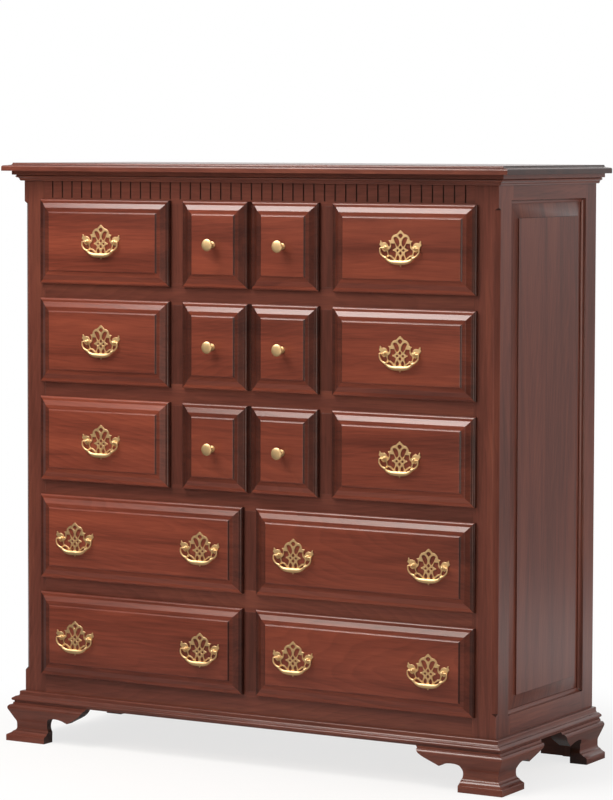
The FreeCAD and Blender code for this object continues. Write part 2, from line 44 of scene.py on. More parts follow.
# ---------------------------------------------------------------------------
# Studio: white paper under and behind the chest, a large soft box high on the left, one close
# overhead, a low card in front, a large one on the right, and a long lens just above its top.
# ---------------------------------------------------------------------------
LENS_PIXELS = 3241.8
LENS_SHIFT = (3.0, -65.5)
PICTURE_HEIGHT = 800.0
LENS_YAW = math.radians(30.163)
LENS_DIP = math.radians(3.399)
LENS_ROLL = math.radians(0.161)
LENS_PLACE = (3508.4, -5819.2, 1316.7)
FRONT_PLANE = -208.25
PAPER_REACH = 30.0
REARWARD = (-0.2, 0.98, 0)


def at(x, y, z):
    """Metres in the frame from millimetres: centre line, front of the case, floor."""
    return Vector((x / 1000, (y + FRONT_PLANE) / 1000, z / 1000))


def linear(hex_colour):
    """Linear RGBA of an sRGB hex colour."""
    values = [int(hex_colour[i:i + 2], 16) / 255 for i in (1, 3, 5)]
    values = [v / 12.92 if v <= 0.04045 else ((v + 0.055) / 1.055) ** 2.4 for v in values]
    return (*values, 1.0)


def add(tree, kind, settings=None, **sockets):
    """One node with its settings, and a value or a link for each named or numbered input."""
    made = tree.nodes.new(kind)
    for key, value in (settings or {}).items():
        setattr(made, key, value)
    for key, value in sockets.items():
        numbered = key.startswith("input")
        socket = made.inputs[int(key[5:]) if numbered else key.replace("_", " ")]
        if isinstance(value, bpy.types.NodeSocket):
            tree.links.new(value, socket)
        else:
            socket.default_value = value
    return made


def new_tree(owner):
    """The empty node tree of a material or a world."""
    owner.use_nodes = True
    owner.node_tree.nodes.clear()
    return owner.node_tree


def lens_or_shine(tree):
    """The light path, and whether a ray comes from the lens or from a shiny or clear surface."""
    path = add(tree, "ShaderNodeLightPath")
    glossy = add(tree, "ShaderNodeMath", {"operation": "MAXIMUM"},
                 input0=path.outputs["Is Glossy Ray"], input1=path.outputs["Is Transmission Ray"])
    either = add(tree, "ShaderNodeMath", {"operation": "MAXIMUM"},
                 input0=path.outputs["Is Camera Ray"], input1=glossy.outputs[0])
    return path, either


sideways = Vector((math.cos(LENS_YAW), math.sin(LENS_YAW), 0))
forwards = Vector((-math.sin(LENS_YAW) * math.cos(LENS_DIP),
                   math.cos(LENS_YAW) * math.cos(LENS_DIP), -math.sin(LENS_DIP)))
upwards = sideways.cross(forwards)
right = sideways * math.cos(LENS_ROLL) + upwards * math.sin(LENS_ROLL)
up = upwards * math.cos(LENS_ROLL) - sideways * math.sin(LENS_ROLL)
lens = bpy.data.cameras.new("long_lens")
lens.lens = LENS_PIXELS / PICTURE_HEIGHT * lens.sensor_width
lens.shift_x = LENS_SHIFT[0] / PICTURE_HEIGHT
lens.shift_y = LENS_SHIFT[1] / PICTURE_HEIGHT
lens.clip_end = 2 * PAPER_REACH
camera = bpy.data.objects.new("long_lens", lens)
camera.matrix_world = Matrix((right, up, -forwards)).transposed().to_4x4()
camera.matrix_world.translation = at(*LENS_PLACE)
scene.collection.objects.link(camera)
scene.camera = camera

# White paper: lit and shadowed near the feet, plain white further off and in reflections
paper = bpy.data.materials.new("white_background_paper")
tree = new_tree(paper)
seen, plain = lens_or_shine(tree)
place = add(tree, "ShaderNodeTexCoord")
distance = add(tree, "ShaderNodeVectorMath", {"operation": "LENGTH"},
               input0=place.outputs["Object"])
far = add(tree, "ShaderNodeMapRange", {"interpolation_type": "SMOOTHSTEP"},
          Value=distance.outputs["Value"], From_Min=0.45, From_Max=1.15)
dimming = add(tree, "ShaderNodeMapRange", Value=distance.outputs["Value"], From_Min=1.6,
              From_Max=3.6, To_Min=0.95, To_Max=0.25)
rearward = add(tree, "ShaderNodeVectorMath", {"operation": "DOT_PRODUCT"},
               input0=place.outputs["Object"], input1=REARWARD)
open_side = add(tree, "ShaderNodeMapRange", {"interpolation_type": "SMOOTHSTEP"},
                Value=rearward.outputs["Value"], From_Min=0.0, From_Max=1.6, To_Min=0.12,
                To_Max=1.0)
mirrored = add(tree, "ShaderNodeMath", {"operation": "MULTIPLY"}, input0=dimming.outputs[0],
               input1=open_side.outputs[0])
level = add(tree, "ShaderNodeMath", {"operation": "MAXIMUM"}, input0=mirrored.outputs[0],
            input1=seen.outputs["Is Camera Ray"])
blank = add(tree, "ShaderNodeMath", {"operation": "MULTIPLY"},
            input0=far.outputs[0], input1=plain.outputs[0])
matt = add(tree, "ShaderNodeBsdfDiffuse", Color=linear("#f2f1ef"))
white = add(tree, "ShaderNodeEmission", Color=(1, 1, 1, 1), Strength=level.outputs[0])
lift = add(tree, "ShaderNodeMixShader", input0=0.74, input1=matt.outputs[0],
           input2=white.outputs[0])
lit = add(tree, "ShaderNodeMixShader", input0=plain.outputs[0], input1=matt.outputs[0],
          input2=lift.outputs[0])
surface = add(tree, "ShaderNodeMixShader", input0=blank.outputs[0], input1=lit.outputs[0],
              input2=white.outputs[0])
add(tree, "ShaderNodeOutputMaterial", Surface=surface.outputs[0])
mesh = bpy.data.meshes.new("paper_floor")
mesh.from_pydata([(x * PAPER_REACH, y * PAPER_REACH, 0)
                  for x, y in ((-1, -1), (1, -1), (1, 1), (-1, 1))], [], [(0, 1, 2, 3)])
mesh.materials.append(paper)
floor = bpy.data.objects.new("paper_floor", mesh)
scene.collection.objects.link(floor)

# White behind the chest, and a dim room on the side of the lens
world = bpy.data.worlds.new("white_studio")
scene.world = world
tree = new_tree(world)
seen, plain = lens_or_shine(tree)
heading = add(tree, "ShaderNodeTexCoord")
facing = add(tree, "ShaderNodeVectorMath", {"operation": "DOT_PRODUCT"},
             input0=heading.outputs["Generated"], input1=REARWARD)
behind = add(tree, "ShaderNodeMapRange", {"interpolation_type": "SMOOTHSTEP"},
             Value=facing.outputs["Value"], From_Min=0.55, From_Max=1.05, To_Min=0.05,
             To_Max=1.0)
level = add(tree, "ShaderNodeMath", {"operation": "MAXIMUM"}, input0=behind.outputs[0],
            input1=seen.outputs["Is Camera Ray"])
room = add(tree, "ShaderNodeBackground", Color=linear("#f1f3f6"), Strength=0.22)
white = add(tree, "ShaderNodeBackground", Color=(1, 1, 1, 1), Strength=level.outputs[0])
pick = add(tree, "ShaderNodeMixShader", input0=plain.outputs[0], input1=room.outputs[0],
           input2=white.outputs[0])
add(tree, "ShaderNodeOutputWorld", Surface=pick.outputs[0])

# Name, place, aim, size, brightness of its face, tint
for name, place, target, size, brightness, tint in (
        ("key_box", (-1300, -2700, 2900), (0, 0, 750), (2000, 1500), 5.1, "#fff6ec"),
        ("overhead_box", (-840, -1000, 2750), (-798, -958, 0), (1500, 1190), 10.8, "#fffaf6"),
        ("low_card", (550, -3300, 450), (0, 0, 650), (1300, 800), 4.6, "#fff4e6"),
        ("right_card", (3300, 500, 1500), (579, 200, 700), (2600, 2800), 2.3, "#fff2e8")):
    lamp = bpy.data.lights.new(name, "AREA")
    lamp.shape = "RECTANGLE"
    lamp.size = size[0] / 1000
    lamp.size_y = size[1] / 1000
    lamp.energy = brightness * math.pi * lamp.size * lamp.size_y
    lamp.color = linear(tint)[:3]
    holder = bpy.data.objects.new(name, lamp)
    aim = (at(*target) - at(*place)).to_track_quat("-Z", "Y")
    holder.matrix_world = Matrix.Translation(at(*place)) @ aim.to_matrix().to_4x4()
    scene.collection.objects.link(holder)


# ---------------------------------------------------------------------------
# Corner posts: each front corner is one stick of stained cherry, 54 by 65 mm, with a stopped
# chamfer down its outer corner. It carries the front rails and the front edge of the side.
# ---------------------------------------------------------------------------
chance = random.Random(4)


def new_stock():
    """Points and faces gathered for one piece: each board knows its heart and its grain."""
    return {"points": [], "faces": [], "heart": [], "grain": [], "finish": [], "stain_and_painted_shade": {}}


def add_solid(stock, points, faces, finish=0, like=None):
    """Add one closed solid; the grain runs along its longest side, the heart lies behind it."""
    points = [Vector(point) for point in points]
    low = Vector([min(point[i] for point in points) for i in range(3)])
    high = Vector([max(point[i] for point in points) for i in range(3)])
    sides = list(high - low)
    grain = [float(side == max(sides)) for side in sides]
    spread = Vector([chance.uniform(-0.05, 0.05), chance.uniform(0.04, 0.12),
                     chance.uniform(-0.05, 0.05)])
    heart, grain = like or ((low + high) / 2 + spread, grain)
    first = len(stock["points"])
    stock["points"] += points
    stock["faces"] += [[first + i for i in face] for face in faces]
    stock["heart"] += [heart] * len(faces)
    stock["grain"] += [grain] * len(faces)
    stock["finish"] += [finish] * len(faces)


def add_loft(stock, rings, finish=0, like=None):
    """A closed solid through rings of points, capped at both ends."""
    count = len(rings[0])
    points = [point for ring in rings for point in ring]
    faces = [tuple(range(count)), tuple(range(len(points) - count, len(points)))]
    for i in range(0, len(points) - count, count):
        for j in range(count):
            k = (j + 1) % count
            faces.append((i + j, i + k, i + count + k, i + count + j))
    add_solid(stock, points, faces, finish, like)


def add_board(stock, x, y, z, finish=0, like=None):
    """A rectangular board between two limits along each axis."""
    rings = [[at(x[0], y[0], c), at(x[1], y[0], c), at(x[1], y[1], c), at(x[0], y[1], c)]
             for c in z]
    add_loft(stock, rings, finish, like)


def add_mesh(stock, mesh, finish=0):
    """Every closed shell of a mesh as a solid of its own, merged back to flat faces."""
    work = bmesh.new()
    work.from_mesh(mesh)
    bmesh.ops.remove_doubles(work, verts=work.verts, dist=1e-6)
    bmesh.ops.dissolve_limit(work, angle_limit=math.radians(0.5), verts=work.verts,
                             edges=work.edges)
    found = set()
    for start in work.faces:
        if start in found:
            continue
        shell = [start]
        found.add(start)
        for face in shell:
            # An edge where two boards touch has four faces, and the shell ends there
            near = {other for edge in face.edges if len(edge.link_faces) == 2
                    for other in edge.link_faces if other not in found}
            found.update(near)
            shell += sorted(near, key=lambda other: other.index)
        corners = list(dict.fromkeys(point for face in shell for point in face.verts))
        order = {point: i for i, point in enumerate(corners)}
        add_solid(stock, [point.co.copy() for point in corners],
                  [[order[point] for point in face.verts] for face in shell], finish)
    work.free()


def turn_outwards(mesh):
    """Turn the faces of closed solids outwards."""
    work = bmesh.new()
    work.from_mesh(mesh)
    bmesh.ops.recalc_face_normals(work, faces=work.faces)
    work.to_mesh(mesh)
    work.free()


def evaluated_mesh(thing):
    """The mesh of an object after its modifiers."""
    return bpy.data.meshes.new_from_object(thing.evaluated_get(
        bpy.context.evaluated_depsgraph_get()))


def make_piece(name, stock, finishes, body, nodes, ease, crease=32):
    """Turn gathered solids into a piece with eased edges that rides on a body."""
    mesh = bpy.data.meshes.new(name)
    mesh.from_pydata(stock["points"], [], stock["faces"])
    mesh.polygons.foreach_set("material_index", stock["finish"])
    for finish in finishes:
        mesh.materials.append(finish)
    turn_outwards(mesh)
    for key in ("heart", "grain"):
        held = mesh.attributes.new(key, "FLOAT_VECTOR", "FACE")
        held.data.foreach_set("vector", [value for row in stock[key] for value in row])
    # Darkening per face: end grain by its slant to the grain, and listed faces set to stain and
    # painted shade
    ends = mesh.attributes.new("grain_ends_and_painted_shade", "FLOAT", "FACE")
    cut = [abs(face.normal.dot(Vector(grain)))
           for face, grain in zip(mesh.polygons, stock["grain"])]
    ends.data.foreach_set("value", [stock["stain_and_painted_shade"].get(i, end) for i, end in enumerate(cut)])
    mesh.shade_smooth()
    thing = bpy.data.objects.new(name, mesh)
    scene.collection.objects.link(thing)
    if ease:
        bevel = thing.modifiers.new("eased_edges", "BEVEL")
        bevel.width = ease / 1000
        bevel.segments = 2
        bevel.limit_method = "ANGLE"
        bevel.angle_limit = math.radians(crease)
        bevel.harden_normals = True
        eased = evaluated_mesh(thing)
        thing.modifiers.clear()
        thing.data = eased
        bpy.data.meshes.remove(mesh)
        eased.name = name
    else:
        mesh.set_sharp_from_angle(angle=math.radians(crease))
    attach(thing, body)
    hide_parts(*nodes)


def planed_wood(name, dark, middle, light, ring_depth, **shine):
    """Sawn from a log: growth rings round the heart, streaks and pores along the grain."""
    finish = bpy.data.materials.new(name)
    tree = new_tree(finish)
    place = add(tree, "ShaderNodeTexCoord")
    heart = add(tree, "ShaderNodeAttribute", {"attribute_name": "heart"})
    grain = add(tree, "ShaderNodeAttribute", {"attribute_name": "grain"})
    lot = add(tree, "ShaderNodeTexWhiteNoise", Vector=heart.outputs["Vector"])
    local = add(tree, "ShaderNodeVectorMath", {"operation": "SUBTRACT"},
                input0=place.outputs["Object"], input1=heart.outputs["Vector"])
    along = add(tree, "ShaderNodeVectorMath", {"operation": "DOT_PRODUCT"},
                input0=local.outputs[0], input1=grain.outputs["Vector"])
    run = add(tree, "ShaderNodeVectorMath", {"operation": "SCALE"},
              input0=grain.outputs["Vector"], Scale=along.outputs["Value"])
    across = add(tree, "ShaderNodeVectorMath", {"operation": "SUBTRACT"},
                 input0=local.outputs[0], input1=run.outputs[0])
    apart = add(tree, "ShaderNodeVectorMath", {"operation": "MULTIPLY_ADD"},
                input0=lot.outputs["Color"], input1=(9, 9, 9), input2=across.outputs[0])
    streak_place = add(tree, "ShaderNodeVectorMath", {"operation": "MULTIPLY_ADD"},
                       input0=run.outputs[0], input1=(0.07, 0.07, 0.07), input2=apart.outputs[0])
    pore_place = add(tree, "ShaderNodeVectorMath", {"operation": "MULTIPLY_ADD"},
                     input0=run.outputs[0], input1=(0.02, 0.02, 0.02), input2=apart.outputs[0])
    # The log leans a little in the board and grew unevenly, so rings run out in arches
    lean = add(tree, "ShaderNodeVectorMath", {"operation": "SUBTRACT"},
               input0=lot.outputs["Color"], input1=(0.5, 0.5, 0.5))
    slant = add(tree, "ShaderNodeMath", {"operation": "MULTIPLY"},
                input0=along.outputs["Value"], input1=0.30)
    leant = add(tree, "ShaderNodeVectorMath", {"operation": "SCALE"}, input0=lean.outputs[0],
                Scale=slant.outputs[0])
    swell_place = add(tree, "ShaderNodeVectorMath", {"operation": "MULTIPLY_ADD"},
                      input0=run.outputs[0], input1=(0.25, 0.25, 0.25), input2=apart.outputs[0])
    swell = add(tree, "ShaderNodeTexNoise", Vector=swell_place.outputs[0], Scale=11.0, Detail=2.0,
                Roughness=0.45)
    pushed = add(tree, "ShaderNodeVectorMath", {"operation": "SCALE"},
                 input0=swell.outputs["Color"], Scale=0.055)
    bent = add(tree, "ShaderNodeVectorMath", {"operation": "ADD"}, input0=across.outputs[0],
               input1=leant.outputs[0])
    bent = add(tree, "ShaderNodeVectorMath", {"operation": "ADD"}, input0=bent.outputs[0],
               input1=pushed.outputs[0])
    radius = add(tree, "ShaderNodeVectorMath", {"operation": "LENGTH"}, input0=bent.outputs[0])
    # Rings about 9 mm apart: wider than cherry grows, so that they show at this distance
    count = add(tree, "ShaderNodeMath", {"operation": "DIVIDE"}, input0=radius.outputs["Value"],
                input1=0.009)
    part = add(tree, "ShaderNodeMath", {"operation": "FRACT"}, input0=count.outputs[0])
    ring = add(tree, "ShaderNodeValToRGB", Fac=part.outputs[0])
    ring.color_ramp.interpolation = "EASE"
    for position, tone in ((0.0, 1.0), (0.55, 0.93), (0.86, 1 - ring_depth), (1.0, 1.0)):
        spot = ring.color_ramp.elements.new(position)
        spot.color = (tone, tone, tone, 1)
    ring.color_ramp.elements.remove(ring.color_ramp.elements[0])
    ring.color_ramp.elements.remove(ring.color_ramp.elements[-1])
    figure = add(tree, "ShaderNodeTexNoise", Vector=streak_place.outputs[0], Scale=20.0,
                 Detail=3.0, Roughness=0.55, Distortion=0.8)
    streaks = add(tree, "ShaderNodeTexNoise", Vector=streak_place.outputs[0], Scale=170.0,
                  Detail=3.0, Roughness=0.6, Distortion=0.3)
    blend = add(tree, "ShaderNodeMath", {"operation": "MULTIPLY_ADD"},
                input0=streaks.outputs["Fac"], input1=0.40, input2=figure.outputs["Fac"])
    colour = add(tree, "ShaderNodeValToRGB", Fac=blend.outputs[0])
    colour.color_ramp.elements[0].position = 0.48
    colour.color_ramp.elements[0].color = linear(dark)
    colour.color_ramp.elements[1].position = 0.92
    colour.color_ramp.elements[1].color = linear(light)
    colour.color_ramp.elements.new(0.70).color = linear(middle)
    pores = add(tree, "ShaderNodeTexNoise", Vector=pore_place.outputs[0], Scale=1000.0,
                Detail=2.0, Roughness=0.5)
    flecks = add(tree, "ShaderNodeMapRange", Value=pores.outputs["Fac"], From_Min=0.32,
                 From_Max=0.46, To_Min=0.82, To_Max=1.0)
    # End grain drinks more stain and turns nearly black on the side mouldings; listed faces of the
    # drawer fronts and dividers are darkened the same way, partly as painted shade
    ends = add(tree, "ShaderNodeAttribute", {"attribute_name": "grain_ends_and_painted_shade"})
    stain_and_shade_darkening = add(tree, "ShaderNodeMapRange", {"interpolation_type": "SMOOTHSTEP"},
                 Value=ends.outputs["Fac"], From_Min=0.1, From_Max=0.5, To_Min=1.0,
                 To_Max=0.30)
    tone = add(tree, "ShaderNodeMapRange", Value=lot.outputs["Value"], To_Min=0.92, To_Max=1.08)
    shade = add(tree, "ShaderNodeMath", {"operation": "MULTIPLY"}, input0=flecks.outputs[0],
                input1=stain_and_shade_darkening.outputs[0])
    shade = add(tree, "ShaderNodeMath", {"operation": "MULTIPLY"}, input0=shade.outputs[0],
                input1=tone.outputs[0])
    shaded = add(tree, "ShaderNodeVectorMath", {"operation": "SCALE"},
                 input0=ring.outputs["Color"], Scale=shade.outputs[0])
    stained = add(tree, "ShaderNodeVectorMath", {"operation": "MULTIPLY"},
                  input0=colour.outputs["Color"], input1=shaded.outputs[0])
    dent = add(tree, "ShaderNodeBump", Strength=0.08, Distance=0.0002,
               Height=pores.outputs["Fac"])
    wood = add(tree, "ShaderNodeBsdfPrincipled", Base_Color=stained.outputs[0], IOR=1.5,
               Normal=dent.outputs[0], **shine)
    add(tree, "ShaderNodeOutputMaterial", Surface=wood.outputs[0])
    return finish


# Dark cherry stain under a rubbed satin lacquer: brown red, with a soft clear shine
SATIN_LACQUER = {"Roughness": 0.55, "Specular_IOR_Level": 0.15, "Coat_Weight": 1.0,
                 "Coat_Roughness": 0.22}
case_cherry = planed_wood("case_cherry_stained_and_lacquered", "#562a1e", "#693528", "#773f2e",
                          0.12, **SATIN_LACQUER)

for side in ("left", "right"):
    stock = new_stock()
    add_mesh(stock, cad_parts[side + "_front_post"].data)
    make_piece(side + "_corner_post", stock, [case_cherry], "case",
               [side + "_front_post"], ease=0.7)


# ---------------------------------------------------------------------------
# Panelled sides: a rear stile and two rails of stained cherry with a rounded sticking, tenoned
# between post and stile, and a raised cherry panel that floats in their groove.
# ---------------------------------------------------------------------------
for side in ("left", "right"):
    for part, node in (("side_rails", "side_frame"), ("raised_panel", "side_panel")):
        stock = new_stock()
        add_mesh(stock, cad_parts["%s_%s" % (side, node)].data)
        make_piece("%s_%s" % (side, part), stock, [case_cherry], "case",
                   ["%s_%s" % (side, node)], ease=0.7)


# ---------------------------------------------------------------------------
# Front frame: cherry rails between the rows, short dividers between the columns and a deep
# bottom rail, tenoned together flush with the posts.
# ---------------------------------------------------------------------------
for name, node in (("row_rails", "drawer_rails"), ("foot_rail", "bottom_rail"),
                   ("dividers", "column_dividers")):
    stock = new_stock()
    add_mesh(stock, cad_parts[node].data)
    # The short dividers are darkened all over: painted shade from the drawer lips on both sides of
    # them
    if name == "dividers":
        stock["stain_and_painted_shade"] = dict.fromkeys(range(len(stock["faces"])), 0.25)
    make_piece(name, stock, [case_cherry], "case", [node], ease=0.25)


# ---------------------------------------------------------------------------
# Fluted frieze: the top rail of the front, cherry, with a row of narrow upright flutes cut with
# a round-nosed cutter. They stop just above the drawers and run out behind the cornice.
# ---------------------------------------------------------------------------
FLUTES = 41
FLUTE_STEP = 25.2
FLUTE_RADIUS = 2.1
FLUTE_SINK = 0.9
FLUTE_FOOT = 1194.5
FLUTE_HEIGHT = 90.0
TOP = 1252.2
FRIEZE = (1183.9, TOP)
FRIEZE_HALF = 524.6
FRIEZE_DEPTH = 22.0


def run_tree(tree, values):
    """The mesh that a geometry tree makes once its named inputs are set."""
    holder = bpy.data.objects.new(tree.name, bpy.data.meshes.new(tree.name))
    scene.collection.objects.link(holder)
    maker = holder.modifiers.new(tree.name, "NODES")
    maker.node_group = tree
    for item in tree.interface.items_tree:
        if item.in_out == "INPUT":
            maker[item.identifier] = values[item.name]
    made = evaluated_mesh(holder)
    bpy.data.objects.remove(holder)
    return made


def new_shape_tree(name, lengths):
    """An empty geometry tree with named lengths, and its input node."""
    tree = bpy.data.node_groups.new(name, "GeometryNodeTree")
    for length in lengths:
        kind = "NodeSocketInt" if length == "Count" else "NodeSocketFloat"
        if length in ("Size", "Place", "First", "Step"):
            kind = "NodeSocketVector"
        tree.interface.new_socket(length, in_out="INPUT", socket_type=kind)
    tree.interface.new_socket("Geometry", in_out="OUTPUT", socket_type="NodeSocketGeometry")
    return tree, tree.nodes.new("NodeGroupInput")


def end_shape_tree(tree, shape, finish):
    """Make the instances real, give them their finish and hand them out."""
    real = add(tree, "GeometryNodeRealizeInstances", Geometry=shape)
    done = add(tree, "GeometryNodeSetMaterial", Geometry=real.outputs["Geometry"],
               Material=finish)
    add(tree, "NodeGroupOutput", input0=done.outputs["Geometry"])


tree, given = new_shape_tree("fluted_rail", ("Size", "Place", "First", "Count", "Step",
                                             "Radius", "Height"))
bar = add(tree, "GeometryNodeMeshCube", Size=given.outputs["Size"])
bar = add(tree, "GeometryNodeTransform", Geometry=bar.outputs["Mesh"],
          Translation=given.outputs["Place"])
cutter = add(tree, "GeometryNodeMeshCylinder", Vertices=16, Radius=given.outputs["Radius"],
             Depth=given.outputs["Height"])
line = add(tree, "GeometryNodeMeshLine", Count=given.outputs["Count"],
           Start_Location=given.outputs["First"], Offset=given.outputs["Step"])
cutters = add(tree, "GeometryNodeInstanceOnPoints", Points=line.outputs["Mesh"],
              Instance=cutter.outputs["Mesh"])
cut = add(tree, "GeometryNodeMeshBoolean", {"operation": "DIFFERENCE", "solver": "EXACT"},
          input0=bar.outputs["Geometry"], input1=cutters.outputs["Instances"])
end_shape_tree(tree, cut.outputs["Mesh"], case_cherry)

stock = new_stock()
low, high = at(-FRIEZE_HALF, 0, FRIEZE[0]), at(FRIEZE_HALF, FRIEZE_DEPTH, FRIEZE[1])
first = at(-(FLUTES - 1) / 2 * FLUTE_STEP, FLUTE_SINK, FLUTE_FOOT + FLUTE_HEIGHT / 2)
fluted = run_tree(tree, {
    "Size": high - low, "Place": (low + high) / 2, "First": first, "Count": FLUTES,
    "Step": (FLUTE_STEP / 1000, 0, 0), "Radius": FLUTE_RADIUS / 1000,
    "Height": FLUTE_HEIGHT / 1000})
add_mesh(stock, fluted)
make_piece("fluted_frieze", stock, [case_cherry], "case", ["frieze_rail"],
           ease=0.25, crease=40)


# ---------------------------------------------------------------------------
# Cornice, base moulding and top: cherry run to profile with cutters, mitred at the front
# corners and glued round the case; the top is one wide glued-up board.
# ---------------------------------------------------------------------------
HALF = 579.0
REAR = 459.5
BASE = 84.5
OVERHANG = 36.5


def bend(centre, radius, start, stop, steps):
    """Points on an arc, angles in degrees."""
    turns = [math.radians(start + (stop - start) * i / steps) for i in range(steps + 1)]
    return [(centre[0] + radius * math.cos(a), centre[1] + radius * math.sin(a)) for a in turns]


def add_mitred_run(stock, section):
    """Front length and both returns of a moulding given as (distance out, height)."""
    corners = [[at(side * (HALF + out), -out, z) for out, z in section] for side in (-1, 1)]
    ends = [[at(side * (HALF + out), REAR, z) for out, z in section] for side in (-1, 1)]
    add_loft(stock, corners)
    for corner, end in zip(corners, ends):
        add_loft(stock, [corner, end])


stock = new_stock()
add_mitred_run(stock, [(0, TOP), (20, TOP), (20, TOP - 8.3), (12.4, TOP - 8.9)]
               + bend((12.0, TOP - 12.0), 2.2, 60, -60, 8)
               + bend((13.4, TOP - 19.4), 5.6, 110, 180, 8)[1:]
               + [(6.2, TOP - 21.4), (0, TOP - 21.4)])
make_piece("cornice", stock, [case_cherry], "case", ["cornice_moulding"],
           ease=0.35, crease=24)

stock = new_stock()
add_mitred_run(stock, [(0, BASE), (17.6, BASE), (18.0, BASE + 3.4)]
               + bend((19.2, BASE + 7.2), 3.4, -75, 60, 8) + [(17.6, BASE + 11.8)]
               + bend((14.4, BASE + 17.8), 5.0, 292, 186, 8)
               + [(9.3, BASE + 20.6)] + bend((7.2, BASE + 22.4), 2.1, 0, 84, 5)
               + [(0, BASE + 25)])
make_piece("base", stock, [case_cherry], "case", ["base_moulding"],
           ease=0.35, crease=24)

stock = new_stock()
rings = []
for out, z in ([(OVERHANG, TOP), (OVERHANG, TOP + 8.4)]
               + bend((OVERHANG - 3.6, TOP + 8.4), 3.6, 8, 80, 6)
               + [(27.2, TOP + 12.6), (22.2, TOP + 13.3)]
               + bend((22.4, TOP + 17.3), 4.0, 262, 184, 5) + [(18.4, TOP + 17.8)]):
    rings.append([at(-HALF - out, -out, z), at(HALF + out, -out, z), at(HALF + out, REAR, z),
                  at(-HALF - out, REAR, z)])
add_loft(stock, rings)
make_piece("top", stock, [case_cherry], "case", ["top_board"], ease=0.35,
           crease=24)


# ---------------------------------------------------------------------------
# Ogee bracket feet: thick cherry with its face worked to an ogee, then sawn to a scrolled
# bracket. Two wings meet in a mitre at each front corner over a glue block; the rear ones have
# a plain board behind.
# ---------------------------------------------------------------------------
FOOT_HEAD_OUT = 19.4
CORNER_REACH = 40.0
FRONT_WING = 21.0
SIDE_WING = 28.0
FOOT_REACH = 172.5
REAR_REACH = 194.0
BACK_WING = 111.0
BACK_WING_THICKNESS = 22.0
GLUE_BLOCK = 34.0
BLOCK_LIFT = 6.0


def ogee_face(thickness):
    """Section of a foot board from the base moulding down to the floor: (out, z)."""
    back = FOOT_HEAD_OUT - thickness
    return ([(back, BASE), (FOOT_HEAD_OUT, BASE)] + bend((22.2, 72.8), 7.0, 104, -32, 12)
            + [(20.6, 54.0)] + bend((30.6, 36.5), 17.0, 148, 183, 7)
            + bend((20.6, 28.0), 7.0, 183, 245, 6)
            + [(19.6, 21.0), (21.2, 18.8), (23.4, 17.2)]
            + [(27.6, 14.9), (30.2, 13.8), (31.0, 12.2), (31.0, 0), (back, 0)])


def bracket(start, end):
    """Face of a foot board between its corner and its tip: (along, z)."""
    return ([(start, BASE), (start, 0), (70, 0), (70, 12)] + bend((91.5, 36), 25, 212, 140, 10)
            + [(76, 53.9), (82, 55.1), (91.8, 55.6), (100, 54.9), (108.5, 52.7), (114.6, 49.6)]
            + bend((120.6, 50.6), 3.6, 215, 300, 5)
            + [(127, 50.2), (140.8, 57.2), (150, 61.9), (157, 66.2), (163, 71.2), (167.4, 76.6),
               (170.4, 82), (end, BASE)])


def prism(points, place, reach):
    """A closed mesh from an outline drawn out from place(a, b, low) to place(a, b, high)."""
    stock = new_stock()
    add_loft(stock, [[place(a, b, c) for a, b in points] for c in reach])
    mesh = bpy.data.meshes.new("cut")
    mesh.from_pydata(stock["points"], [], stock["faces"])
    turn_outwards(mesh)
    thing = bpy.data.objects.new("cut", mesh)
    scene.collection.objects.link(thing)
    return thing


def sawn_wing(section, outline, place, mitre=None):
    """The ogee board kept inside its bracket outline, and cut off at a mitre."""
    reach = (min(a for a, _ in outline), max(a for a, _ in outline))
    board = prism(section, lambda out, z, along: place(along, out, z), reach)
    # The saw runs 1 mm past both faces of the board
    thick = (min(out for out, _ in section) - 1, max(out for out, _ in section) + 1)
    saw = prism(outline, lambda along, z, out: place(along, out, z), thick)
    kept = board.modifiers.new("sawn", "BOOLEAN")
    kept.operation = "INTERSECT"
    kept.solver = "EXACT"
    kept.object = saw
    mesh = evaluated_mesh(board)
    bpy.data.objects.remove(board)
    bpy.data.objects.remove(saw)
    if mitre:
        work = bmesh.new()
        work.from_mesh(mesh)
        cut = bmesh.ops.bisect_plane(work, geom=work.verts[:] + work.edges[:] + work.faces[:],
                                     plane_co=mitre[0], plane_no=mitre[1], clear_outer=True)
        rim = [edge for edge in cut["geom_cut"] if isinstance(edge, bmesh.types.BMEdge)]
        bmesh.ops.holes_fill(work, edges=rim)
        work.to_mesh(mesh)
        work.free()
    return mesh


